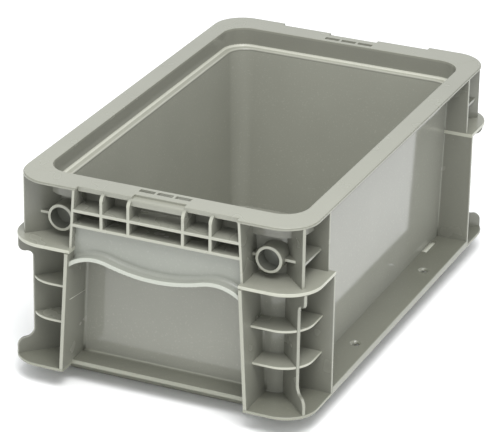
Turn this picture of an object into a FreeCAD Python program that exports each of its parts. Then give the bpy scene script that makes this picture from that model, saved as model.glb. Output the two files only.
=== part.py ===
import FreeCAD, Part
import math
import os
import re

import Sketcher

# Straight-wall stacking bin, one moulding, modelled feature by feature.
# Frame: origin at the middle of the footprint on the ground, +Z up, +Y along the length.
# Every master piece is built at the +X, -Y corner or the -Y end and mirrored to the others.

SIZES = {
    # overall
    "half_length": 152.4,
    "half_width": 94.0,
    "rim_top": 127.0,
    "flange_radius": 20.0,
    # walls of the tub, measured outside
    "tub_half_width": 73.5,
    "tub_half_length": 125.4,
    "tub_radius": 12.0,
    "tub_draft": 1.4,
    "wall": 2.3,
    "floor_bottom": 3.2,
    "floor_thick": 2.2,
    # stacking skirt and the ribs under the floor
    "skirt_half_width": 75.8,
    "skirt_half_length": 126.2,
    "skirt_radius": 14.0,
    "skirt_wall": 2.4,
    "skirt_height": 11.7,
    "skirt_foot": 6.4,
    "skirt_round": 4.2,
    "rib_bottom": 1.2,
    "rib_pitch": 28.0,
    # base flange
    "flange_thick": 1.9,
    "sill_thick": 2.8,
    "sill_reach": 140.0,
    "side_flange_top": 16.4,
    "side_lip": 2.0,
    "hole_radius": 2.5,
    "hole_sink_radius": 3.4,
    "hole_from_centre": 84.4,
    "hole_middle": 3.1,
    "hole_spacing_half": 55.6,
    "gate_near": 82.5,
    "gate_far": 98.4,
    "gate_reach": 77.4,
    "gate_rise": 0.6,
    "drain_west": 73.0,
    "drain_east": 76.6,
    "drain_near": 99.2,
    "drain_far": 102.8,
    # recess that takes the skirt of the bin above
    "ledge_top": 114.7,
    "ledge_thick": 1.5,
    "recess_half_width": 78.75,
    "recess_half_length": 130.0,
    "recess_radius": 15.0,
    # rim
    "rim_half_width": 90.6,
    "rim_half_length": 148.2,
    "rim_radius": 20.5,
    "rim_thick": 1.6,
    "bead_height": 0.8,
    "bead_reach": 0.4,
    "grid_rim_reach": 144.5,
    "grid_half_width": 49.6,
    "grid_lip_height": 2.9,
    "grid_lip_thick": 1.8,
    "tab_half_width": 16.0,
    "tab_top_reach": 140.6,
    "tab_drop": 1.4,
    "tab_reach": 145.6,
    "tab_overlap": 2.0,
    "tab_lip_height": 3.8,
    "tab_lip_thick": 1.8,
    "tab_round": 1.2,
    "slot_length": 9.6,
    "slot_width": 3.4,
    "slot_pitch": 11.2,
    "slot_middle": 134.6,
    # corner posts
    "plate": 2.0,
    "upper_plate_thick": 1.7,
    "upper_plate_at_rim": 50.7,
    "upper_plate_lean": 0.065,
    "lower_plate_thick": 2.3,
    "lower_plate_at_mid": 53.75,
    "lower_plate_lean": 0.0565,
    "side_plate_middle": 111.5,
    "mid_flange_bottom": 87.1,
    "mid_flange_thick": 2.2,
    "mid_flange_half_length": 151.4,
    "mid_flange_radius": 22.0,
    "web_offset": 53.3,
    "web_depth": 32.0,
    "web_setback": 10.3,
    "web_foot": 18.0,
    "web_foot_inset": 0.2,
    "web_head": 82.4,
    "web_head_inset": 1.5,
    "upper_web_inset": 5.4,
    "shelf_half_width": 87.4,
    "shelf_half_length": 142.0,
    "shelf_radius": 18.0,
    "shelf_thick": 1.6,
    "lower_shelf": 37.4,
    "upper_shelf": 60.2,
    "side_shelf": 101.4,
    "side_shelf_half_width": 85.6,
    # round boss in the upper cell of each post
    "boss_from_centre": 64.5,
    "boss_height": 101.7,
    "boss_radius": 8.2,
    "boss_bore_radius": 6.4,
    "boss_floor": 129.0,
    "boss_mouth": 137.5,
    "boss_web_reach": 133.8,
    # grid under the end rail
    "grid_rib_one": 16.8,
    "grid_rib_two": 33.6,
    "grid_row_one": 112.0,
    "grid_row_two": 103.0,
    "grid_round": 6.0,
    # apron and its wave lip
    "apron_face": 144.0,
    "apron_thick": 2.0,
    "lip_reach": 150.2,
    "lip_thick": 2.6,
    "wave_crest": 86.9,
    "wave_dip": 5.4,
    "wave_crest_from_centre": 37.0,
    "wave_crest_radius": 28.0,
    # edge radii
    "ledge_round": 1.2,
    "rim_round": 0.4,
    "flange_round": 0.8,
    "edge_round": 0.5,
    # how far tools run past what they cut, and how deep pieces are sunk into the tub before trimming
    "overrun": 20.0,
    "sunk": 6.0,
}
FUNCTIONS = {"tan", "sqrt"}

doc = FreeCAD.newDocument("stacking_bin")
sheet = doc.addObject("Spreadsheet::Sheet", "Sizes")
for row, (alias, number) in enumerate(SIZES.items(), start=1):
    sheet.set(f"A{row}", alias)
    sheet.set(f"B{row}", str(number))
    sheet.setAlias(f"B{row}", alias)
doc.recompute()


def formula(text):
    """An expression in the sheet's names, as FreeCAD wants it."""
    return re.sub(r"[a-z][a-z_]*", lambda m: m[0] if m[0] in FUNCTIONS else f"Sizes.{m[0]}", text)


def value(text):
    """The number that such an expression stands for, in millimetres."""
    return float(sheet.evalExpression(formula(text)))


def bind(obj, **expressions):
    for prop, text in expressions.items():
        obj.setExpression(prop.replace("__", "."), formula(text))
    return obj


def new(kind, label):
    obj = doc.addObject(kind, label)
    obj.Label = label
    return obj


def box(label, west, east, south, north, bottom, top):
    """Axis-aligned block between six expressions."""
    block = new("Part::Box", label)
    bind(block, Length=f"({east}) - ({west})", Width=f"({north}) - ({south})", Height=f"({top}) - ({bottom})")
    return bind(block, Placement__Base__x=west, Placement__Base__y=south, Placement__Base__z=bottom)


def cut(label, base, tool):
    piece = new("Part::Cut", label)
    piece.Base = base
    piece.Tool = tool
    return piece


def common(label, base, tool):
    piece = new("Part::Common", label)
    piece.Base = base
    piece.Tool = tool
    return piece


def fuse(label, *shapes):
    piece = new("Part::MultiFuse", label)
    piece.Shapes = list(shapes)
    piece.Refine = True
    return piece


def closed_sketch(body, plane, height, corners):
    """Closed outline on one of the body's planes, lifted by height.

    Each corner is (x, y) after a straight side or (x, y, radius, turn) after an arc, with turn
    +1 for an arc that runs anticlockwise. Every corner and radius is bound to the sheet.
    """
    sketch = body.newObject("Sketcher::SketchObject", body.Label + "_outline")
    origin_plane = [f for f in body.Origin.OriginFeatures if f.Role == plane][0]
    sketch.AttachmentSupport = [(origin_plane, "")]
    sketch.MapMode = "FlatFace"
    sketch.setExpression("AttachmentOffset.Base.z", formula(height))
    points = [FreeCAD.Vector(value(c[0]), value(c[1]), 0) for c in corners]
    for index, corner in enumerate(corners):
        start, end = points[index - 1], points[index]
        if len(corner) == 2:
            sketch.addGeometry(Part.LineSegment(start, end))
            continue
        radius, turn = value(corner[2]), corner[3]
        chord = end - start
        rise = math.sqrt(max(radius ** 2 - (chord.Length / 2) ** 2, 0))
        side = FreeCAD.Vector(-chord.y, chord.x, 0).normalize() * turn
        centre = (start + end) * 0.5 + side * rise
        middle = centre - side * radius
        sketch.addGeometry(Part.ArcOfCircle(start, middle, end))
    add_constraints(sketch, corners)
    return sketch


def add_constraints(sketch, corners):
    """Ties the sides end to end and binds each corner's place and each arc's radius."""
    count = len(corners)
    ends = []
    for index, corner in enumerate(corners):
        forward = len(corner) == 2 or corner[3] > 0
        ends.append((1, 2) if forward else (2, 1))
    for index, corner in enumerate(corners):
        after = (index + 1) % count
        joint = Sketcher.Constraint("Coincident", index, ends[index][1], after, ends[after][0])
        sketch.addConstraint(joint)
        for kind, text in (("DistanceX", corner[0]), ("DistanceY", corner[1])):
            place = Sketcher.Constraint(kind, -1, 1, index, ends[index][1], value(text))
            number = sketch.addConstraint(place)
            sketch.setExpression(f"Constraints[{number}]", formula(text))
        if len(corner) == 4:
            number = sketch.addConstraint(Sketcher.Constraint("Radius", index, value(corner[2])))
            sketch.setExpression(f"Constraints[{number}]", formula(corner[2]))


def pad(label, plane, height, length, corners, draft=None):
    """Body padded from a closed outline along the normal of its plane."""
    body = new("PartDesign::Body", label)
    sketch = closed_sketch(body, plane, height, corners)
    feature = body.newObject("PartDesign::Pad", label + "_pad")
    feature.Profile = sketch
    bind(feature, Length=length)
    if draft:
        bind(feature, TaperAngle=draft)
    return body


def rounded(half_x, half_y, radius):
    """Corners of a rounded rectangle centred on the origin."""
    x, y, r = f"({half_x})", f"({half_y})", f"({radius})"
    return [
        (f"{x} - {r}", f"-{y}"),
        (x, f"{r} - {y}", radius, 1),
        (x, f"{y} - {r}"),
        (f"{x} - {r}", y, radius, 1),
        (f"{r} - {x}", y),
        (f"-{x}", f"{y} - {r}", radius, 1),
        (f"-{x}", f"{r} - {y}"),
        (f"{r} - {x}", f"-{y}", radius, 1),
    ]


def slab(label, half_x, half_y, radius, bottom, top, draft=None):
    """Flat block with a rounded rectangular outline between two heights."""
    return pad(label, "XY_Plane", bottom, f"({top}) - ({bottom})", rounded(half_x, half_y, radius), draft)


def round_edges(label, source, radius, wanted):
    """The source with the wanted edges rounded."""
    doc.recompute()
    size = value(radius)
    picked = [n for n, edge in enumerate(source.Shape.Edges, start=1) if wanted(edge)]
    piece = new("Part::Fillet", label)
    piece.Base = source
    piece.Edges = [(n, size, size) for n in picked]
    return piece


def mirror(label, source, normal):
    piece = new("Part::Mirroring", label)
    piece.Source = source
    piece.Normal = normal
    return piece


ACROSS_X = FreeCAD.Vector(1, 0, 0)
ACROSS_Y = FreeCAD.Vector(0, 1, 0)
NODES = []


def keep(piece):
    NODES.append(piece)
    return piece


def at_both_ends(name, build):
    front = keep(build(f"{name}_front"))
    keep(mirror(f"{name}_rear", front, ACROSS_Y))


def at_both_sides(name, build):
    right = keep(build(f"{name}_right"))
    keep(mirror(f"{name}_left", right, ACROSS_X))


def at_all_corners(name, build):
    front_right = keep(build(f"{name}_front_right"))
    front_left = keep(mirror(f"{name}_front_left", front_right, ACROSS_X))
    keep(mirror(f"{name}_rear_right", front_right, ACROSS_Y))
    keep(mirror(f"{name}_rear_left", front_left, ACROSS_Y))


TOUCH = 0.02


def near(number, text):
    return abs(number - value(text)) < TOUCH


def lies_on(axis, text):
    """Test for edges that lie flat on the plane where an axis takes a value."""
    def test(edge):
        low, high = edge.BoundBox.getPoint(0), edge.BoundBox.getPoint(6)
        lows, highs = (low.x, low.y, low.z), (high.x, high.y, high.z)
        return near(lows[axis], text) and near(highs[axis], text)
    return test


X, Y, Z = 0, 1, 2
FAR = "half_length + overrun"

# ---- shared blanks: solids that several pieces are cut from or cut with ----

FLANGE_TOP = "skirt_height + flange_thick"
RIM_BOTTOM = "rim_top - rim_thick"
LEDGE_BOTTOM = "ledge_top - ledge_thick"
FLOOR_TOP = "floor_bottom + floor_thick"
MID_TOP = "mid_flange_bottom + mid_flange_thick"

tub_outside = slab(
    "tub_outside", "tub_half_width", "tub_half_length", "tub_radius", FLOOR_TOP, LEDGE_BOTTOM, "tub_draft"
)
tub_inside = slab(
    "tub_inside", "tub_half_width - wall", "tub_half_length - wall", "tub_radius - wall",
    FLOOR_TOP, RIM_BOTTOM, "tub_draft"
)
tub_shell = cut("tub_shell", tub_outside, tub_inside)
recess_outside = slab(
    "recess_outside", "recess_half_width + wall", "recess_half_length + wall", "recess_radius + wall",
    LEDGE_BOTTOM, RIM_BOTTOM
)
recess_inside = slab(
    "recess_inside", "recess_half_width", "recess_half_length", "recess_radius",
    "ledge_top", "rim_top + overrun"
)
core = fuse("core", tub_outside, recess_outside)


# ---- tub ----

def build_tub():
    """Floor, drafted walls and rounded corners, standing on the floor plate."""
    keep(slab(
        "floor", "skirt_half_width - skirt_wall", "skirt_half_length - skirt_wall", "skirt_radius - skirt_wall",
        "floor_bottom", FLOOR_TOP
    ))
    straight_x = "tub_half_width - tub_radius"
    straight_y = "tub_half_length - tub_radius"

    def long_wall(label):
        block = box(label + "_clip", "0", FAR, f"-({straight_y})", straight_y, "0", "rim_top")
        return common(label, tub_shell, block)

    def end_wall(label):
        block = box(label + "_clip", f"-({straight_x})", straight_x, f"-({FAR})", "0", "0", "rim_top")
        return common(label, tub_shell, block)

    def tub_corner(label):
        block = box(label + "_clip", straight_x, FAR, f"-({FAR})", f"-({straight_y})", "0", "rim_top")
        return common(label, tub_shell, block)

    at_both_sides("long_wall", long_wall)
    at_both_ends("end_wall", end_wall)
    at_all_corners("tub_corner", tub_corner)


def build_skirt():
    """Foot of the bin, which drops into the recess of the bin below: a ring with an inward sole."""
    block = slab("skirt_block", "skirt_half_width", "skirt_half_length", "skirt_radius", "0", "skirt_height")
    outer = round_edges("skirt_outside", block, "skirt_round", lies_on(Z, "0"))
    hollow = slab(
        "skirt_hollow", "skirt_half_width - skirt_wall", "skirt_half_length - skirt_wall",
        "skirt_radius - skirt_wall", "floor_bottom", "skirt_height + overrun"
    )
    sole_gap = slab(
        "sole_gap", "skirt_half_width - skirt_foot", "skirt_half_length - skirt_foot",
        "skirt_radius - skirt_foot", "-overrun", "floor_bottom"
    )
    keep(cut("stacking_skirt", outer, fuse("skirt_inside", hollow, sole_gap)))


def build_floor_ribs():
    """Square grid of ribs under the floor plate, inside the skirt."""
    field = slab(
        "rib_field", "skirt_half_width - skirt_foot", "skirt_half_length - skirt_foot",
        "skirt_radius - skirt_foot", "rib_bottom", "floor_bottom"
    )
    bars = []
    for step in range(-2, 3):
        middle = f"rib_pitch * {step}"
        bars.append(box(
            f"rib_along_{step + 2}", f"{middle} - plate / 2", f"{middle} + plate / 2", f"-({FAR})", FAR,
            "rib_bottom", "floor_bottom"
        ))
    for step in range(-4, 5):
        middle = f"rib_pitch * {step}"
        bars.append(box(
            f"rib_across_{step + 4}", f"-({FAR})", FAR, f"{middle} - plate / 2", f"{middle} + plate / 2",
            "rib_bottom", "floor_bottom"
        ))
    keep(common("floor_ribs", fuse("rib_bars", *bars), field))


def build_recess():
    """Stepped wall under the rim with the ledge that carries the bin above."""
    hollow = fuse("recess_hollow", recess_inside, tub_inside)
    ring = cut("recess_ring", recess_outside, hollow)
    keep(round_edges("stacking_recess", ring, "ledge_round", is_ledge_edge))


def is_ledge_edge(edge):
    """Inner outline of the ledge's top."""
    place = edge.BoundBox
    reach_x = max(abs(place.XMin), abs(place.XMax))
    reach_y = max(abs(place.YMin), abs(place.YMax))
    inner = reach_x < value("recess_half_width") - TOUCH and reach_y < value("recess_half_length") - TOUCH
    return lies_on(Z, "ledge_top")(edge) and inner


# ---- rim ----

def rim_blank():
    """Flat rim over a beaded edge, set back over the grids and slotted in the middle of each end."""
    bead = slab(
        "rim_bead", "rim_half_width", "rim_half_length", "rim_radius", RIM_BOTTOM, f"{RIM_BOTTOM} + bead_height"
    )
    plate = slab(
        "rim_plate", "rim_half_width - bead_reach", "rim_half_length - bead_reach", "rim_radius - bead_reach",
        RIM_BOTTOM, "rim_top"
    )
    ring = cut("rim_ring", fuse("rim_whole", bead, plate), recess_inside)
    cutters = []
    for end, outward in (("front", "-"), ("rear", "")):
        for part, half, depth in (
            ("grid", "grid_half_width", "grid_rim_reach"), ("tab", "tab_half_width", "tab_top_reach")
        ):
            south, north = (f"-({FAR})", f"-{depth}") if outward else (depth, FAR)
            cutters.append(box(
                f"rim_{part}_{end}", f"-{half}", half, south, north,
                f"{RIM_BOTTOM} - overrun", "rim_top + overrun"
            ))
        for step in (-1, 0, 1):
            cutters.append(box(
                f"rim_slot_{end}_{step + 1}",
                f"slot_pitch * {step} - slot_length / 2", f"slot_pitch * {step} + slot_length / 2",
                f"{outward}slot_middle - slot_width / 2", f"{outward}slot_middle + slot_width / 2",
                f"{RIM_BOTTOM} - overrun", "rim_top + overrun"
            ))
    return cut("rim_blank", ring, fuse("rim_cutters", *cutters))


def rim_lips():
    """Turned-down edges of the front rail: one over each half of the grid and the rolled tab between."""
    right = box("grid_lip_right", "tab_half_width", "grid_half_width", "-grid_rim_reach",
                "-grid_rim_reach + grid_lip_thick", "rim_top - grid_lip_height", RIM_BOTTOM)
    tab_top = "rim_top - tab_drop"
    shelf = box("tab_top", "-tab_half_width", "tab_half_width", "-tab_reach", "-tab_top_reach + tab_overlap",
                f"{tab_top} - tab_lip_thick", tab_top)
    front = box("tab_front", "-tab_half_width", "tab_half_width", "-tab_reach", "-tab_reach + tab_lip_thick",
                f"{tab_top} - tab_lip_height", tab_top)
    tab = round_edges("tab", fuse("tab_blank", shelf, front), "tab_round",
                      lambda edge: lies_on(Y, "-tab_reach")(edge) and lies_on(Z, tab_top)(edge))
    return fuse("rim_lips", right, mirror("grid_lip_left", right, ACROSS_X), tab)


front_lips = rim_lips()


def build_rim():
    """Two long rails and two end rails, mitred where their inner and outer corners meet."""
    blank = rim_blank()
    mitre_x = "(recess_half_width - recess_radius / 3)"
    mitre_y = "(recess_half_length - recess_radius / 3)"
    slope = f"((rim_half_length - {mitre_y}) / (rim_half_width - {mitre_x}))"
    reach = "(rim_half_width + overrun)"
    rise = f"({mitre_y} + ({reach} - {mitre_x}) * {slope})"
    side = pad("rim_side_clip", "XY_Plane", f"{RIM_BOTTOM} - overrun", "rim_thick + 2 * overrun", [
        (mitre_x, f"-{mitre_y}"),
        (reach, f"-{rise}"),
        (reach, rise),
        (mitre_x, mitre_y),
    ])

    def long_rail(label):
        rail = common(label + "_blank", blank, side)
        return round_edges(label, rail, "rim_round", is_rim_edge)

    def end_rail(label):
        rail = common(label + "_blank", cut(label + "_rest", blank, sides), half)
        top = round_edges(label + "_top", rail, "rim_round", is_rim_edge)
        return fuse(label, top, front_lips)

    at_both_sides("long_rim", long_rail)
    sides = fuse("rim_sides", side, mirror("rim_side_clip_left", side, ACROSS_X))
    half = box("rim_front_half", f"-({FAR})", FAR, f"-({FAR})", "0", "0", "rim_top + overrun")
    at_both_ends("end_rim", end_rail)


def is_rim_edge(edge):
    """Outer and inner edges of the rim's top face, away from slots and mitres."""
    if not lies_on(Z, "rim_top")(edge):
        return False
    place = edge.BoundBox.Center
    if abs(place.x) < value("slot_pitch * 2") and abs(place.y) < value("tab_top_reach") - TOUCH:
        return abs(place.y) < value("recess_half_length") + TOUCH
    straight = edge.Curve.TypeId == "Part::GeomLine"
    return not (straight and min(edge.BoundBox.XLength, edge.BoundBox.YLength) > TOUCH)


# ---- base flange ----

SIDE_PLATE_INNER = "side_plate_middle - plate / 2"
flange_outline = slab(
    "flange_outline", "half_width", "half_length", "flange_radius", "skirt_height", "rim_top"
)
mid_flange_outline = slab(
    "mid_flange_outline", "half_width", "mid_flange_half_length", "mid_flange_radius",
    "mid_flange_bottom", MID_TOP
)
shelf_outline = slab(
    "shelf_outline", "shelf_half_width", "shelf_half_length", "shelf_radius", FLANGE_TOP, "mid_flange_bottom"
)


def upper_plate_at(height):
    """Distance of the middle of an upper inner plate from the centre line."""
    return f"(upper_plate_at_rim + (rim_top - ({height})) * upper_plate_lean)"


def lower_plate_at(height):
    return f"(lower_plate_at_mid + (mid_flange_bottom - ({height})) * lower_plate_lean)"


POST_INNER = lower_plate_at("skirt_height") + " - lower_plate_thick / 2"
MID_INNER = upper_plate_at(MID_TOP) + " - upper_plate_thick / 2"


def corner_sheet(label, inner_x, bottom, top, outline):
    """Flat layer of one corner post from the tub out to an outline, between two heights."""
    block = box(label + "_block", inner_x, FAR, f"-({FAR})", f"-({SIDE_PLATE_INNER})", bottom, top)
    return cut(label + "_sheet", common(label + "_blank", outline, block), core)


def middle_of(edge):
    return edge.valueAt((edge.FirstParameter + edge.LastParameter) / 2)


def is_outer_edge(edge):
    """Level edges of the outline of a corner layer, other than its seam with the side flange."""
    place = middle_of(edge)
    outside = -place.y > value("rim_half_length - sunk") or place.x > value("rim_half_width - sunk")
    return edge.BoundBox.ZLength < TOUCH and outside and not near(-place.y, SIDE_PLATE_INNER)


def build_base_flange():
    def flange_corner(label):
        layer = corner_sheet(label, POST_INNER, "skirt_height", FLANGE_TOP, flange_outline)
        return round_edges(label, layer, "edge_round", is_outer_edge)

    def end_sill(label):
        block = box(label + "_block", f"-({POST_INNER})", POST_INNER, "-sill_reach", "0", "skirt_height",
                    "skirt_height + sill_thick")
        sill = cut(label + "_blank", block, tub_outside)
        return round_edges(label, sill, "edge_round", lambda edge: lies_on(Y, "-sill_reach")(edge)
                           and edge.BoundBox.XLength > TOUCH)

    at_all_corners("base_flange_corner", flange_corner)
    at_both_ends("end_sill", end_sill)
    at_both_sides("base_flange_side", build_side_flange)


def build_side_flange(label):
    """Long flange with its turned-down lip, two countersunk holes, a drain slot and a gate pad."""
    end = SIDE_PLATE_INNER
    start = "tub_half_width - sunk"
    plate = box(label + "_plate", start, "half_width", f"-({end})", end, "side_flange_top - flange_thick",
                "side_flange_top")
    lip = box(label + "_lip", "half_width - side_lip", "half_width", f"-({end})", end, "skirt_height",
              "side_flange_top")
    gate = box(label + "_gate", start, "gate_reach", "gate_near", "gate_far", "side_flange_top",
               "side_flange_top + gate_rise")
    root = box(label + "_root", start, "skirt_half_width", f"-({end})", end, "skirt_height", "side_flange_top")
    blank = fuse(label + "_blank", plate, lip, gate, root)
    whole = round_edges(label + "_rounded", blank, "flange_round", lambda edge: lies_on(X, "half_width")(edge)
                        and edge.BoundBox.YLength > TOUCH)
    tools = [
        tub_outside,
        box(label + "_drain", "drain_west", "drain_east", "drain_near", "drain_far", "skirt_height",
            "side_flange_top + overrun"),
    ]
    for name, way in (("near", "-"), ("far", "+")):
        place = f"hole_middle {way} hole_spacing_half"
        bore = new("Part::Cylinder", f"{label}_bore_{name}")
        bind(bore, Radius="hole_radius", Height="overrun", Placement__Base__x="hole_from_centre",
             Placement__Base__y=place, Placement__Base__z="side_flange_top - overrun / 2")
        sink = new("Part::Cone", f"{label}_sink_{name}")
        bind(sink, Radius1="hole_radius", Radius2="hole_sink_radius", Height="hole_sink_radius - hole_radius",
             Placement__Base__x="hole_from_centre", Placement__Base__y=place,
             Placement__Base__z="side_flange_top - hole_sink_radius + hole_radius")
        tools += [bore, sink]
    return cut(label, whole, fuse(label + "_tools", *tools))


# ---- corner posts ----

def leaning_plate(label, bottom, top, middle_at, thick, reach):
    """Plate beside the end panel, leaning out towards the ground, from the tub to its front edge."""
    corners = [
        (f"{middle_at(bottom)} - {thick} / 2", bottom),
        (f"{middle_at(bottom)} + {thick} / 2", bottom),
        (f"{middle_at(top)} + {thick} / 2", top),
        (f"{middle_at(top)} - {thick} / 2", top),
    ]
    depth = "tub_half_length - sunk"
    return pad(label, "XZ_Plane", depth, f"{reach} - ({depth})", corners)


# The diagonal web runs along x = t, y = -t - web_offset, and ends where that line meets the flange's
# rounded corner.
WEB_GAP = "(half_length - half_width - web_offset)"
WEB_END = f"(half_width - flange_radius + ({WEB_GAP} + sqrt(2 * flange_radius ^ 2 - {WEB_GAP} ^ 2)) / 2)"
FOOT_BEND = "((web_setback - web_foot_inset) / 2)"
HEAD_BEND = "((web_setback - web_head_inset) / 2)"


def web_blank(label, corners):
    """Upright web on the diagonal from the tub corner to the outer corner of the post."""
    body = pad(label, "XZ_Plane", "-plate / 2", "plate", corners)
    body.Placement = FreeCAD.Placement(FreeCAD.Vector(), FreeCAD.Rotation(FreeCAD.Vector(0, 0, 1), -45))
    return bind(body, Placement__Base__x=WEB_END, Placement__Base__y=f"-{WEB_END} - web_offset")


upper_inner_plate = leaning_plate(
    "upper_inner_plate", MID_TOP, RIM_BOTTOM, upper_plate_at, "upper_plate_thick", "rim_half_length"
)
lower_inner_blank = leaning_plate(
    "lower_inner_plate_blank", FLANGE_TOP, "mid_flange_bottom", lower_plate_at, "lower_plate_thick",
    "half_length"
)
upper_web_blank = web_blank("upper_web_blank", [
    ("-web_depth", MID_TOP),
    ("-upper_web_inset", MID_TOP),
    ("-upper_web_inset", RIM_BOTTOM),
    ("-web_depth", RIM_BOTTOM),
])
lower_web_blank = web_blank("lower_web_blank", [
    ("-web_depth", FLANGE_TOP),
    ("-web_foot_inset", FLANGE_TOP),
    ("-web_foot_inset", "web_foot"),
    (f"-web_foot_inset - {FOOT_BEND}", f"web_foot + {FOOT_BEND}", FOOT_BEND, 1),
    ("-web_setback", f"web_foot + 2 * {FOOT_BEND}", FOOT_BEND, -1),
    ("-web_setback", f"web_head - 2 * {HEAD_BEND}"),
    (f"-web_setback + {HEAD_BEND}", f"web_head - {HEAD_BEND}", HEAD_BEND, -1),
    ("-web_head_inset", "web_head", HEAD_BEND, 1),
    ("-web_head_inset", "mid_flange_bottom"),
    ("-web_depth", "mid_flange_bottom"),
])


def side_plate_blank(label, reach, bottom, top):
    return box(label + "_blank", "tub_half_width - sunk", reach, "-side_plate_middle - plate / 2",
               "-side_plate_middle + plate / 2", bottom, top)


UPPER_SIDE_REACH = "rim_half_width - bead_reach"
upper_side_blank = side_plate_blank("upper_side", UPPER_SIDE_REACH, MID_TOP, RIM_BOTTOM)
lower_side_blank = side_plate_blank("lower_side", "half_width", FLANGE_TOP, "mid_flange_bottom")
lower_walls = fuse("lower_post_walls", core, lower_inner_blank, lower_web_blank, lower_side_blank)
upper_walls = fuse("upper_post_walls", core, upper_inner_plate, upper_web_blank, upper_side_blank)


def trimmed_web(label, blank):
    """Diagonal web cut back to the tub, with its upright outer edges rounded."""
    nearest = value(f"2 * {WEB_END} + web_offset - 2 * web_setback")
    return round_edges(label, cut(label + "_cut", blank, core), "edge_round",
                       lambda edge: edge.BoundBox.ZLength > TOUCH
                       and edge.BoundBox.Center.x - edge.BoundBox.Center.y > nearest)


def trimmed_plate(label, blank, axis, face):
    """Plate cut back to the tub, with the upright edges of its outer face rounded."""
    return round_edges(label, cut(label + "_cut", blank, core), "edge_round",
                       lambda edge: lies_on(axis, face)(edge) and edge.BoundBox.ZLength > value("plate"))


def build_lower_post():
    def inner_plate(label):
        return trimmed_plate(label, lower_inner_blank, Y, "-half_length")

    def side_plate(label):
        return trimmed_plate(label, lower_side_blank, X, "half_width")

    def diagonal_web(label):
        return trimmed_web(label, lower_web_blank)

    def shelves(label):
        layers = []
        for name, height in (("low", "lower_shelf"), ("high", "upper_shelf")):
            layer = corner_sheet(f"{label}_{name}", lower_plate_at(height), height, f"{height} + shelf_thick",
                                 shelf_outline)
            layers.append(cut(f"{label}_{name}_cut", layer, lower_walls))
        return round_edges(label, fuse(label + "_both", *layers), "edge_round", is_shelf_edge)

    def mid_flange(label):
        layer = corner_sheet(label, MID_INNER, "mid_flange_bottom", MID_TOP, mid_flange_outline)
        return round_edges(label, layer, "edge_round", is_outer_edge)

    at_all_corners("lower_inner_plate", inner_plate)
    at_all_corners("lower_side_plate", side_plate)
    at_all_corners("lower_diagonal_web", diagonal_web)
    at_all_corners("post_shelves", shelves)
    at_all_corners("mid_flange", mid_flange)


def is_shelf_edge(edge):
    """Free outer edges of a shelf, which follow the shelf outline."""
    if edge.BoundBox.ZLength > TOUCH or edge.Length < value("shelf_thick"):
        return False
    place = middle_of(edge)
    centre_x = value("shelf_half_width - shelf_radius")
    centre_y = value("shelf_half_length - shelf_radius")
    if place.x > centre_x and -place.y > centre_y:
        return near(math.hypot(place.x - centre_x, -place.y - centre_y), "shelf_radius")
    return near(place.x, "shelf_half_width") or near(-place.y, "shelf_half_length")


def build_upper_post():
    def side_plate(label):
        return trimmed_plate(label, upper_side_blank, X, UPPER_SIDE_REACH)

    def diagonal_web(label):
        return trimmed_web(label, upper_web_blank)

    at_all_corners("upper_side_plate", side_plate)
    at_all_corners("upper_diagonal_web", diagonal_web)
    at_all_corners("post_boss", build_boss)


def build_boss(label):
    """Round blind boss facing the end, the level web behind it and the shelf across the side cell."""
    def drum(name, radius, back, front):
        part = new("Part::Cylinder", f"{label}_{name}")
        part.Placement = FreeCAD.Placement(FreeCAD.Vector(), FreeCAD.Rotation(FreeCAD.Vector(1, 0, 0), 90))
        return bind(part, Radius=radius, Height=f"({front}) - ({back})", Placement__Base__x="boss_from_centre",
                    Placement__Base__y=f"-({back})", Placement__Base__z="boss_height")

    start_x = "(tub_half_width - sunk)"
    plate_x = upper_plate_at("boss_height")
    web = pad(label + "_web", "XY_Plane", "boss_height - shelf_thick / 2", "shelf_thick", [
        (plate_x, "-boss_web_reach"),
        ("boss_web_reach - web_offset", "-boss_web_reach"),
        ("tub_half_length - web_offset", "-tub_half_length"),
        (plate_x, "-tub_half_length"),
    ])
    shelf = pad(label + "_shelf", "XY_Plane", "side_shelf", "shelf_thick", [
        (start_x, f"-{start_x} - web_offset"),
        ("side_shelf_half_width", "-side_shelf_half_width - web_offset"),
        ("side_shelf_half_width", f"-({SIDE_PLATE_INNER})"),
        (start_x, f"-({SIDE_PLATE_INNER})"),
    ])
    outer = drum("outer", "boss_radius", "tub_half_length", "boss_mouth")
    bore = drum("bore", "boss_bore_radius", "boss_floor", "boss_mouth + overrun")
    solid = fuse(label + "_solid", outer, web, shelf)
    trimmed = cut(label + "_trimmed", solid, fuse(label + "_tools", upper_walls, bore))
    return round_edges(label, trimmed, "edge_round", lambda edge: lies_on(Y, "-boss_mouth")(edge)
                       and edge.BoundBox.ZLength > value("2 * boss_bore_radius") + TOUCH)


# ---- ends ----

ROLL_Y = "rim_half_length - grid_round"
ROLL_Z = f"{RIM_BOTTOM} - sqrt(grid_round ^ 2 - (grid_rim_reach - rim_half_length + grid_round) ^ 2)"


def build_grid(label):
    """Grid of ribs under the end rail with the upper plates of both posts."""
    parts = [upper_inner_plate, mirror(label + "_plate_left", upper_inner_plate, ACROSS_X)]
    back = "-tub_half_length + sunk"
    for index, place in enumerate(("-grid_rib_two", "-grid_rib_one", "grid_rib_one", "grid_rib_two")):
        parts.append(box(f"{label}_upright_{index}", f"{place} - plate / 2", f"{place} + plate / 2",
                         "-rim_half_length", back, "grid_row_two", RIM_BOTTOM))
    for index, height in enumerate(("grid_row_one", "grid_row_two")):
        half = upper_plate_at(height)
        parts.append(box(f"{label}_row_{index}", f"-{half}", half, "-rim_half_length", back, height,
                         f"{height} + plate"))
    whole = cut(label + "_whole", fuse(label + "_frame", *parts), core)
    rounded_front = round_edges(label + "_rounded", whole, "edge_round", is_grid_front)
    return cut(label, rounded_front, fuse(label + "_tools", front_lips, upright_notch(label)))


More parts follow.
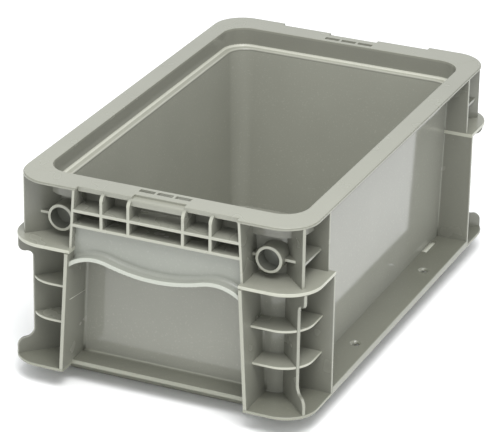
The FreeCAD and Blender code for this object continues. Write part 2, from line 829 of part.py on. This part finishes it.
def upright_notch(label):
    """Block that rounds the uprights' upper front corners back to the set-back rim."""
    half = "grid_rib_two + plate"
    block = box(label + "_notch", f"-({half})", half, f"-({FAR})", f"-({ROLL_Y})", ROLL_Z, "rim_top")
    roller = new("Part::Cylinder", label + "_roller")
    roller.Placement = FreeCAD.Placement(FreeCAD.Vector(), FreeCAD.Rotation(FreeCAD.Vector(0, 1, 0), 90))
    bind(roller, Radius="grid_round", Height=f"2 * ({half})", Placement__Base__x=f"-({half})",
         Placement__Base__y=f"-({ROLL_Y})", Placement__Base__z=ROLL_Z)
    return cut(label + "_notch_rounded", block, roller)


def is_grid_front(edge):
    """Front edges of the grid, short of the seams with the rim and the mid flange."""
    place = edge.BoundBox
    on_front = lies_on(Y, "-rim_half_length")(edge)
    seam = place.ZLength < TOUCH and (near(place.ZMin, MID_TOP) or near(place.ZMin, RIM_BOTTOM))
    return on_front and not seam


def wave(height_offset):
    """Wave in the XZ plane as arcs: end, crest, dip, crest, end, shifted up by an offset.

    The dip and crest circles touch, so their radii add up to the distance between centres.
    """
    crest = f"(wave_crest + ({height_offset}))"
    crest_radius = f"(wave_crest_radius + ({height_offset}))"
    total = "((wave_crest_from_centre ^ 2 + wave_dip ^ 2) / (2 * wave_dip))"
    dip_radius = f"({total} - {crest_radius})"
    touch_x = f"(wave_crest_from_centre * {dip_radius} / {total})"
    touch_z = f"({crest} - wave_dip * {crest_radius} / {total})"
    end_x = "lower_plate_at_mid"
    run = f"({end_x} - wave_crest_from_centre)"
    end_z = f"({crest} - {crest_radius} + sqrt({crest_radius} ^ 2 - {run} ^ 2))"
    return end_x, end_z, touch_x, touch_z, crest_radius, dip_radius


def wave_band(label, depth, reach, top_edge, bottom_edge):
    """Body between two outlines of the wave, or between a level top and the wave."""
    end_x, end_z, touch_x, touch_z, crest_radius, dip_radius = bottom_edge
    corners = [
        (f"-{end_x}", end_z),
        (f"-{touch_x}", touch_z, crest_radius, -1),
        (touch_x, touch_z, dip_radius, 1),
        (end_x, end_z, crest_radius, -1),
    ]
    if isinstance(top_edge, str):
        corners += [(end_x, top_edge), (f"-{end_x}", top_edge)]
    else:
        end_x, end_z, touch_x, touch_z, crest_radius, dip_radius = top_edge
        corners += [
            (end_x, end_z),
            (touch_x, touch_z, crest_radius, 1),
            (f"-{touch_x}", touch_z, dip_radius, -1),
            (f"-{end_x}", end_z, crest_radius, 1),
        ]
    return pad(label, "XZ_Plane", depth, f"{reach} - ({depth})", corners)


def build_apron(label):
    """Panel under the grid with a wave-shaped lip turned out along its lower edge."""
    depth = "apron_face - apron_thick"
    low = wave("-lip_thick")
    panel = wave_band(label + "_panel", depth, "apron_face", "grid_row_two", low)
    lip = wave_band(label + "_lip", depth, "lip_reach", wave("0"), low)
    past_flange = box(label + "_past_flange", MID_INNER, FAR, f"-({FAR})", "0", "mid_flange_bottom", MID_TOP)
    past_plate = box(label + "_past_plate", upper_plate_at("grid_row_two") + " + upper_plate_thick / 4", FAR,
                     f"-({FAR})", "0", MID_TOP, "rim_top")
    walls = fuse(label + "_walls", lower_inner_blank, upper_inner_plate, past_flange, past_plate)
    both = fuse(label + "_both_walls", walls, mirror(label + "_walls_left", walls, ACROSS_X))
    trimmed = cut(label + "_trimmed", fuse(label + "_blank", panel, lip), both)
    return round_edges(label, trimmed, "edge_round", lambda edge: lies_on(Y, "-lip_reach")(edge)
                       and edge.BoundBox.XLength > value("plate"))


build_tub()
build_skirt()
build_floor_ribs()
build_recess()
build_rim()
build_base_flange()
build_lower_post()
build_upper_post()
at_both_ends("handle_grid", build_grid)
at_both_ends("apron", build_apron)

doc.recompute()
for item in doc.Objects:
    if {"Invalid", "Error"} & set(item.State):
        raise RuntimeError(f"{item.Label} did not compute: {item.State}")
for node in NODES:
    if node.Shape.isNull() or not node.Shape.isValid():
        raise RuntimeError(f"{node.Label} has no valid shape")
os.makedirs("parts", exist_ok=True)
for node in NODES:
    node.Shape.exportStep(f"parts/{node.Label}.step")
print(f"{len(NODES)} nodes written")
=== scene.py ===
import math

import bpy
import numpy as np
from mathutils import Matrix, Vector


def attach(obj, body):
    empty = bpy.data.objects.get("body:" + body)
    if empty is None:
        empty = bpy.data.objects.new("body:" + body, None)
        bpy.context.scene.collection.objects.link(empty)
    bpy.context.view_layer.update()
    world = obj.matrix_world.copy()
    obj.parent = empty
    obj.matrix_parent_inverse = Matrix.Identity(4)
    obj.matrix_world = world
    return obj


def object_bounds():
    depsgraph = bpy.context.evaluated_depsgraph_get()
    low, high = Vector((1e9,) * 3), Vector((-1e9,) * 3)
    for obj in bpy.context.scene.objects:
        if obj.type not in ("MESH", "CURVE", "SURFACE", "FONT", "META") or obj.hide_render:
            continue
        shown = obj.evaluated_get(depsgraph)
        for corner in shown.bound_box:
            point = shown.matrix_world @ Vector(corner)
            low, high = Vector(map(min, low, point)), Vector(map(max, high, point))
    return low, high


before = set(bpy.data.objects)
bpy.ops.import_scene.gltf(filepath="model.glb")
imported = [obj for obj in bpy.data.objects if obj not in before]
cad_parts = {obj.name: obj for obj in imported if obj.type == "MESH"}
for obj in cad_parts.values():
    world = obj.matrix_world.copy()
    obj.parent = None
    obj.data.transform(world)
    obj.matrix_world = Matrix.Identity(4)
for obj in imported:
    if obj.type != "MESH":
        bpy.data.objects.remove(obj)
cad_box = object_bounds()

# ---------------------------------------------------------------------------------------------
# Tub: floor plate, drafted walls, rounded corners and the stepped recess under the rim.
# One shot of filled polypropylene, dull olive grey, pressed against a finely blasted mould face,
# so it is half glossy with a fine grain, faint flow clouding and a few pale specks of filler.
# ---------------------------------------------------------------------------------------------


def moulded_plastic(name, colour, roughness, grain, specks, edge_highlight=None, painted_inside_light=1.0, bore=None):
    """Blasted moulded plastic on object coordinates.

    Colour is the given colour times slow flow clouding, with sparse pale specks where a fine noise
    peaks. Roughness wanders with a second cloud, and the bump is a grain of about three quarters
    of a millimetre. Faces that look towards the upright axis, into the bin, are painted lighter by
    a given factor, as painted light. Painted highlights make faces paler: "level" pales whatever
    doesn't face up or down, "ledge" whatever faces up, "x" and "y" whatever faces along that axis,
    "diagonal" the narrow faces of plates on the corner diagonals, and a number of metres whatever
    lies further than that from the middle of the length. A core hole, given as its axis' distance
    from the middle, its height and a radius, is painted darker within that radius, as a painted
    shadow.
    """
    material = bpy.data.materials.new(name)
    material.use_nodes = True
    tree = material.node_tree
    tree.nodes.clear()

    def node(kind, **settings):
        made = tree.nodes.new(kind)
        for key, setting in settings.items():
            if key in made.inputs:
                made.inputs[key].default_value = setting
            else:
                setattr(made, key, setting)
        return made

    def link(source, output, target, socket):
        tree.links.new(source.outputs[output], target.inputs[socket])

    def ranged(source, output, low, high, to_low=0.0, to_high=1.0):
        """From to_low to to_high as the source goes from low to high, and level outside that."""
        scaled = node("ShaderNodeMapRange", **{
            "From Min": low, "From Max": high, "To Min": to_low, "To Max": to_high})
        link(source, output, scaled, "Value")
        return scaled

    def maths(operation, *inputs):
        """One sum on numbers and on outputs, an output given as its node and its name."""
        made = node("ShaderNodeMath", operation=operation)
        for index, given in enumerate(inputs):
            if isinstance(given, tuple):
                link(*given, made, index)
            else:
                made.inputs[index].default_value = given
        return made

    def covered(under, over, share, blend_type="MIX"):
        """The colour under, with another laid over it or multiplied in as far as the share says."""
        mixed = node("ShaderNodeMix", data_type="RGBA", blend_type=blend_type)
        mixed.inputs["B"].default_value = (*over, 1)
        link(share, "Result", mixed, "Factor")
        link(under, "Result", mixed, "A")
        return mixed

    def toned(factor):
        return tuple(c * factor for c in colour)

    place = node("ShaderNodeTexCoord")
    flow = node("ShaderNodeTexNoise", Scale=16.0, Detail=3.0, Roughness=0.5)
    ripple = node("ShaderNodeTexNoise", Scale=70.0, Detail=2.0, Roughness=0.4)
    speck = node("ShaderNodeTexNoise", Scale=900.0, Detail=1.0, Roughness=0.5)
    fine = node("ShaderNodeTexNoise", Scale=1300.0, Detail=1.0, Roughness=0.5)
    for cloud in (flow, ripple, speck, fine):
        link(place, "Object", cloud, "Vector")

    skin = node("ShaderNodeMix", data_type="RGBA")
    skin.inputs["A"].default_value = (*toned(0.94), 1)
    skin.inputs["B"].default_value = (*toned(1.06), 1)
    link(ranged(flow, "Fac", 0.2, 0.8), "Result", skin, "Factor")
    skin = covered(skin, toned(1.35), ranged(speck, "Fac", 0.62, 0.72, 0.0, specks))

    facing = node("ShaderNodeSeparateXYZ")
    link(node("ShaderNodeNewGeometry"), "Normal", facing, "Vector")
    spot = node("ShaderNodeSeparateXYZ")
    link(place, "Object", spot, "Vector")
    # Painted light: faces turned towards the upright axis, into the bin, are multiplied lighter.
    if painted_inside_light != 1.0:
        sideways = maths("MULTIPLY", (facing, "X"), (spot, "X"))
        lengthways = maths("MULTIPLY", (facing, "Y"), (spot, "Y"))
        outward = maths("ADD", (sideways, "Value"), (lengthways, "Value"))
        skin = covered(skin, (painted_inside_light,) * 3, ranged(outward, "Value", 0.002, -0.002), "MULTIPLY")
    # Painted highlight: the chosen faces are laid over with a paler colour.
    if edge_highlight:
        if edge_highlight == "level":
            painted_highlight = ranged(maths("ABSOLUTE", (facing, "Z")), "Value", 0.92, 0.6)
        elif edge_highlight == "ledge":
            painted_highlight = ranged(facing, "Z", 0.3, 0.8)
        elif edge_highlight in ("x", "y"):
            painted_highlight = ranged(maths("ABSOLUTE", (facing, edge_highlight.upper())), "Value", 0.5, 0.85)
        elif edge_highlight == "diagonal":
            quadrant = maths("SIGN", (maths("MULTIPLY", (spot, "X"), (spot, "Y")), "Value"))
            lean = maths("MULTIPLY", (facing, "X"), (facing, "Y"))
            painted_highlight = ranged(maths("MULTIPLY", (quadrant, "Value"), (lean, "Value")), "Value", 0.0, 0.35)
        else:
            painted_highlight = ranged(maths("ABSOLUTE", (spot, "Y")), "Value", edge_highlight, edge_highlight + 0.0004)
        skin = covered(skin, toned(1.55), painted_highlight)
    # Painted shadow: within a radius of the core hole's axis the colour is multiplied darker.
    if bore:
        axis_x, axis_z, radius = bore
        from_axis = node("ShaderNodeCombineXYZ")
        aside = maths("SUBTRACT", (maths("ABSOLUTE", (spot, "X")), "Value"), axis_x)
        link(aside, "Value", from_axis, "X")
        link(maths("SUBTRACT", (spot, "Z"), axis_z), "Value", from_axis, "Z")
        reach = node("ShaderNodeVectorMath", operation="LENGTH")
        link(from_axis, "Vector", reach, 0)
        skin = covered(skin, (0.42, 0.43, 0.44), ranged(reach, "Value", radius, radius - 0.0003), "MULTIPLY")

    blast = node("ShaderNodeBump", Strength=grain, Distance=0.00005)
    link(fine, "Fac", blast, "Height")
    shader = node("ShaderNodeBsdfPrincipled", IOR=1.49)
    link(skin, "Result", shader, "Base Color")
    link(ranged(ripple, "Fac", 0.2, 0.8, roughness * 0.8, roughness * 1.25), "Result", shader, "Roughness")
    link(blast, "Normal", shader, "Normal")
    link(shader, "BSDF", node("ShaderNodeOutputMaterial"), "Surface")
    return material


def dress(material, *families):
    """Puts one material on every moulded feature whose name starts with one of these words."""
    for name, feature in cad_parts.items():
        if name.startswith(families):
            for slot in feature.material_slots:
                slot.material = material


def closed_strip(name, sections, material, looped=False):
    """Closed skin over a row of equal cross sections, given in millimetres.

    Point j of section i joins point j of section i + 1, and point j + 1 of both, as one
    four-sided face. A looped row joins its last section to its first; an open one is capped.
    Six times the volume is the sum of a . (b x c) over the triangles of all faces, and where it
    comes out negative every face is turned round.
    """
    count, ring = sections.shape[:2]
    points = sections.reshape(-1, 3) * 0.001
    i, j = np.indices((count if looped else count - 1, ring)).reshape(2, -1)
    after, across = (i + 1) % count, (j + 1) % ring
    sides = np.stack((i * ring + j, after * ring + j, after * ring + across, i * ring + across), 1)
    a, b, c, d = points[sides].transpose(1, 0, 2)
    volume = np.sum(a * (np.cross(b, c) + np.cross(c, d)))
    faces = sides.tolist()
    if not looped:
        caps = np.stack((np.arange(ring), count * ring - 1 - np.arange(ring)))
        fan = points[caps]
        volume += np.sum(fan[:, :1] * np.cross(fan[:, 1:-1], fan[:, 2:]))
        faces += caps.tolist()
    if volume < 0:
        faces = [face[::-1] for face in faces]
    mesh = bpy.data.meshes.new(name)
    mesh.from_pydata(points.tolist(), [], faces)
    mesh.materials.append(material)
    mesh.polygons.foreach_set("use_smooth", [len(face) == 4 for face in faces])
    piece = bpy.data.objects.new(name, mesh)
    bpy.context.collection.objects.link(piece)
    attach(piece, "root")


def cove(name, path, along, up, radius, material, looped=False):
    """Concave moulded radius where two faces meet, swept along the seam.

    With a from 0 to 90 degrees the section's arc is seam + radius (1 - sin a) along
    + radius (1 - cos a) up; its two legs lie a quarter of a millimetre under the faces.
    """
    sunk = 0.25
    angle = np.linspace(0, math.pi / 2, 9)
    out = np.append(radius * (1 - np.sin(angle)), (-sunk, -sunk, radius))[:, None]
    rise = np.append(radius * (1 - np.cos(angle)), (radius, -sunk, -sunk))[:, None]
    along, up = (np.broadcast_to(way, path.shape)[:, None] for way in (along, up))
    closed_strip(name, path[:, None] + out * along + rise * up, material, looped)


def rounded_loop(half_x, half_y, radius, height):
    """Points and inward directions of a rounded rectangle at one height, anticlockwise.

    Each quarter turn runs at the radius round its own corner's centre, in 12 steps.
    """
    turn = np.radians(np.add.outer(np.arange(0, 360, 90), np.linspace(0, 90, 13))).ravel()
    outward = np.stack((np.cos(turn), np.sin(turn), np.zeros_like(turn)), 1)
    corner = np.repeat([(1, 1, 0), (-1, 1, 0), (-1, -1, 0), (1, -1, 0)], 13, axis=0)
    centre = corner * (half_x - radius, half_y - radius, 0) + (0, 0, height)
    return centre + radius * outward, -outward


# The tub's faces turned into the bin are painted 1.17 times lighter: painted light from overhead.
wall_skin = moulded_plastic("wall_skin", (0.238, 0.240, 0.205), 0.075, grain=0.12, specks=0.35, painted_inside_light=1.17)
dress(wall_skin, "floor", "long_wall", "end_wall", "tub_corner")
# The recess is painted darker than the walls, a painted shadow under the rim, and its upward faces paler, a
# painted highlight along the ledge.
recess_shadow_and_highlight_skin = moulded_plastic("recess_shadow_and_highlight_skin", (0.2, 0.201, 0.17), 0.15, grain=0.25, specks=0.2, edge_highlight="ledge")
dress(recess_shadow_and_highlight_skin, "stacking_recess")

# The ledge runs into the recess with a polished radius, painted pale as a painted highlight along it.
ledge_highlight_skin = moulded_plastic("ledge_highlight_skin", (0.42, 0.421, 0.36), 0.12, grain=0.2, specks=0.1)
ledge_loop, ledge_in = rounded_loop(78.75, 130.0, radius=15.0, height=114.7)
cove("ledge_cove", ledge_loop, ledge_in, (0, 0, 1), 1.2, ledge_highlight_skin, looped=True)

# ---------------------------------------------------------------------------------------------
# Skirt, floor ribs and base flange: the foot that drops into the bin below, and the shelf round it.
# Same shot of plastic, out of the rougher steel of the mould's moving half. A gate pad with its
# trimmed film stands on each long flange, and the drain slot beside it is left open.
# ---------------------------------------------------------------------------------------------


def wall_face(at_floor, z):
    """Outer face of a drafted wall: its place at the floor, 5.4 up, plus the rise times tan 1.4 degrees."""
    return at_floor + (z - 5.4) * math.tan(math.radians(1.4))


def points_at(x, y, z):
    """Points from their coordinates, each of which is one number or an array of numbers."""
    return np.stack(np.broadcast_arrays(x, y, z), -1).astype(float)


END_WALL = 125.4
# The foot is painted paler wherever it doesn't face up or down: a painted highlight.
foot_skin = moulded_plastic("foot_skin", (0.152, 0.154, 0.125), 0.22, grain=0.4, specks=0.3, edge_highlight="level")
dress(foot_skin, "stacking_skirt", "floor_ribs", "base_flange", "end_sill")

for end, sy in (("front", -1), ("rear", 1)):
    sill_top = 14.5
    sill_seam = points_at(np.linspace(-56.4, 56.4, 24), sy * wall_face(END_WALL, sill_top), sill_top)
    cove(f"sill_root_{end}", sill_seam, (0, sy, 0), (0, 0, 1), 1.4, foot_skin)

gate_skin = moulded_plastic("gate_skin", (0.44, 0.445, 0.38), roughness=0.4, grain=0.5, specks=0.2)
for side, sx in (("right", 1), ("left", -1)):
    # The trimmed gate: a pale film a tenth of a millimetre thick over its pad.
    pad_top = 17.0
    across, height = sx * np.array((73.9, 77.3, 77.3, 73.9)), pad_top + np.array((-0.2, -0.2, 0.08, 0.08))
    film = points_at(across, np.linspace(82.6, 98.3, 5)[:, None], height)
    closed_strip(f"gate_film_{side}", film, gate_skin)

# ---------------------------------------------------------------------------------------------
# Corner posts: leaning inner plates, side plates, diagonal webs, shelves, mid flange and boss.
# Thin ribs out of the side slides of the mould; they stay half matt, and their moulded rims are
# painted paler as a painted highlight. Each plate runs into the wall with a small radius.
# ---------------------------------------------------------------------------------------------

POST_GREY = (0.205, 0.207, 0.173)
post_skin = moulded_plastic("post_skin", POST_GREY, 0.24, grain=0.2, specks=0.12)
# Lit and shaded copies of the post plastic: shelves and flanges are painted 1.22 times lighter as painted
# light from above, plates and webs darker as painted shadow, and each gets a painted highlight on the faces
# its facing names.
for skin_name, facing, painted_light, families in (
    ("layer_lit_skin", "level", 1.22, ("mid_flange", "post_shelves")),
    ("inner_plate_shaded_skin", "y", 0.95, ("lower_inner_plate",)),
    ("side_plate_shaded_skin", "x", 0.85, ("lower_side_plate", "upper_side_plate")),
    ("web_shaded_skin", "diagonal", 0.82, ("lower_diagonal_web", "upper_diagonal_web")),
):
    grey = tuple(c * painted_light for c in POST_GREY)
    dress(moulded_plastic(skin_name, grey, 0.24, grain=0.2, specks=0.12, edge_highlight=facing), *families)

# The boss's core hole is painted darker within its radius, a painted shadow, and its faces along the length
# are painted paler, a painted highlight.
boss_skin = moulded_plastic(
    "boss_skin", POST_GREY, 0.2, grain=0.3, specks=0.12, edge_highlight="y", bore=(0.0645, 0.1017, 0.0066))
dress(boss_skin, "post_boss")


def inner_plate_face(side_of_middle, z):
    """A face of a lower inner plate, half of 2.3 from its middle, which leans out 0.0565 per mm of drop."""
    return 53.75 + (87.1 - z) * 0.0565 + side_of_middle * 1.15


def hair_line(name, start, end, out, width, height, material):
    """Hair-thin raised line from one point of a face to another.

    With a from 0 to 180 degrees its section is point + width / 2 cos a across + height sin a out,
    closed by two corners a fifth of a millimetre under the face.
    """
    across = np.cross(np.subtract(end, start), out)
    across = across / np.linalg.norm(across)
    angle = np.linspace(0, math.pi, 7)
    aside = np.append(np.cos(angle), (-1, 1)) * width / 2
    rise = np.append(np.sin(angle) * height, (-0.2, -0.2))
    rows = np.linspace(start, end, 5)[:, None] + np.outer(aside, across) + np.outer(rise, out)
    closed_strip(name, rows, material)


for end, sy in (("front", -1), ("rear", 1)):
    for side, sx in (("right", 1), ("left", -1)):
        z = np.linspace(14.6, 87.0, 13)
        for face, way in (("inner", -1), ("outer", 1)):
            plate_seam = points_at(sx * inner_plate_face(way, z), sy * wall_face(END_WALL, z), z)
            cove(f"plate_root_{face}_{end}_{side}", plate_seam, (sx * way, 0, 0), (0, sy, 0), 1.2, post_skin)
        for level, low, high in (("low", 16.5, 87.0), ("high", 89.4, 113.1)):
            z = np.linspace(low, high, 9)
            side_seam = points_at(sx * wall_face(73.5, z), sy * 110.5, z)
            cove(f"side_root_{level}_{end}_{side}", side_seam, (sx, 0, 0), (0, -sy, 0), 0.7, post_skin)
        # Parting line of the mould's slides across the inner face of the lower plate, drawn in the pale gate
        # plastic as a painted highlight.
        start, stop = ((sx * inner_plate_face(-1, z), sy * y, z) for y, z in ((147.0, 56.5), (127.5, 54.2)))
        hair_line(f"parting_line_{end}_{side}", start, stop, (-sx, 0, 0), 0.4, 0.1, gate_skin)

# ---------------------------------------------------------------------------------------------
# Rim: flat rails over a beaded edge, with a slot row and a rolled tab in the middle of each end.
# The smoothest steel of the mould, so it shines a little more; where two flows of plastic met,
# at the front left and the rear right corners, a hair-thin knit line stands across the rail.
# ---------------------------------------------------------------------------------------------

rim_skin = moulded_plastic("rim_skin", (0.235, 0.237, 0.198), 0.24, grain=0.15, specks=0.1)
dress(rim_skin, "long_rim", "end_rim")

for corner, way in (("front_left", -1), ("rear_right", 1)):
    start, stop = ((way * x, way * y, 127.0) for x, y in ((74.9, 126.6), (83.9, 140.6)))
    hair_line(f"knit_line_{corner}", start, stop, (0, 0, 1), 0.35, 0.05, rim_skin)

# ---------------------------------------------------------------------------------------------
# Handle grids and aprons: ribs under the end rail, a smooth apron, and its turned-out wave lip
# that the fingers go under. Same plastic, the apron off polished steel, its lip blended in
# with a small radius.
# ---------------------------------------------------------------------------------------------

# The grid is painted paler on faces along the length, a painted highlight on the rib fronts.
grid_skin = moulded_plastic("grid_skin", (0.21, 0.212, 0.178), 0.26, grain=0.35, specks=0.1, edge_highlight="y")
dress(grid_skin, "handle_grid")
# The apron is painted paler beyond 149.8 mm from the middle of the length, a painted highlight on the lip's
# front.
apron_skin = moulded_plastic("apron_skin", (0.248, 0.257, 0.226), 0.18, grain=0.25, specks=0.25, edge_highlight=0.1498)
dress(apron_skin, "apron")


def wave_height(x):
    """Top of the wave lip: a dip circle in the middle, and a crest circle each side from 29 outwards.

    The dip's height is its lowest point + its radius - sqrt(radius^2 - x^2), the crest's is its
    highest point - its radius + sqrt(radius^2 - (|x| - 37)^2).
    """
    highest, depth, dip_radius, crest_radius = 86.9, 5.4, 101.46, 28.0
    meeting, crest_middle = 29.0, 37.0
    dip = highest - depth + dip_radius - np.sqrt(dip_radius ** 2 - x ** 2)
    from_crest = np.maximum(abs(x), meeting) - crest_middle
    crest = highest - crest_radius + np.sqrt(crest_radius ** 2 - from_crest ** 2)
    return np.where(abs(x) < meeting, dip, crest)


for end, sy in (("front", -1), ("rear", 1)):
    x = np.linspace(-52.8, 52.8, 61)
    lip_seam = points_at(x, sy * 144.0, wave_height(x))
    cove(f"lip_cove_{end}", lip_seam, (0, sy, 0), (0, 0, 1), 1.8, apron_skin)

# ---------------------------------------------------------------------------------------------
# Studio: a white paper floor under bright even air, with a broad soft box overhead, a small one
# over the front right corner, and a weak one far in front.
# ---------------------------------------------------------------------------------------------


def studio_floor():
    """Flat square sheet at the height of the skirt's lower edge."""
    mesh = bpy.data.meshes.new("studio_floor")
    half, height = 6.0, float(cad_box[0][2])
    corners = [(-half, -half, height), (half, -half, height), (half, half, height), (-half, half, height)]
    mesh.from_pydata(corners, [], [(0, 1, 2, 3)])
    sheet = bpy.data.objects.new("studio_floor", mesh)
    bpy.context.collection.objects.link(sheet)
    paper = bpy.data.materials.new("white_paper")
    paper.use_nodes = True
    shader = paper.node_tree.nodes["Principled BSDF"]
    shader.inputs["Base Color"].default_value = (0.93, 0.93, 0.93, 1)
    shader.inputs["Roughness"].default_value = 0.9
    mesh.materials.append(paper)
    return sheet


def soft_light(name, place, size, power):
    """Square area light facing the middle of the bin."""
    data = bpy.data.lights.new(name, "AREA")
    data.shape = "SQUARE"
    data.size = size
    data.energy = power
    lamp = bpy.data.objects.new(name, data)
    lamp.location = place
    lamp.rotation_mode = "QUATERNION"
    lamp.rotation_quaternion = (Vector((0, 0, 0.06)) - Vector(place)).to_track_quat("-Z", "Y")
    bpy.context.collection.objects.link(lamp)


studio_floor()
soft_light("overhead_box", (0.25, -0.45, 1.85), 1.5, 20)
soft_light("near_box", (0.28, -0.42, 0.75), 0.4, 3.6)
soft_light("front_box", (0.2, -2.0, 0.9), 1.2, 4)

air = bpy.data.worlds.new("studio_air")
air.use_nodes = True
air.node_tree.nodes["Background"].inputs["Color"].default_value = (0.98, 1.0, 1.01, 1)
air.node_tree.nodes["Background"].inputs["Strength"].default_value = 0.95
bpy.context.scene.world = air
bpy.context.scene.view_settings.view_transform = "Standard"

# ---------------------------------------------------------------------------------------------
# Camera: a long lens to the right of the front end, looking down into the bin and rolled by
# about a degree. It stands 1.76 m from a point near the middle of the bin.
# ---------------------------------------------------------------------------------------------

azimuth, elevation, roll = (math.radians(a) for a in (23.66, 24.15, 0.96))
aim, distance = Vector((-0.0152, 0.0178, 0.0499)), 1.764
back = Vector((
    math.sin(azimuth) * math.cos(elevation), -math.cos(azimuth) * math.cos(elevation), math.sin(elevation)
))
level = Vector((0, 0, 1)).cross(back).normalized()
upright = back.cross(level)
right = level * math.cos(roll) + upright * math.sin(roll)
up = upright * math.cos(roll) - level * math.sin(roll)
lens = bpy.data.cameras.new("studio_camera")
lens.sensor_width = 36.0
lens.lens = 206.9
camera = bpy.data.objects.new("studio_camera", lens)
turn = Matrix((right, up, back)).transposed().to_4x4()
camera.matrix_world = Matrix.Translation(aim + back * distance) @ turn
bpy.context.collection.objects.link(camera)
bpy.context.scene.camera = camera
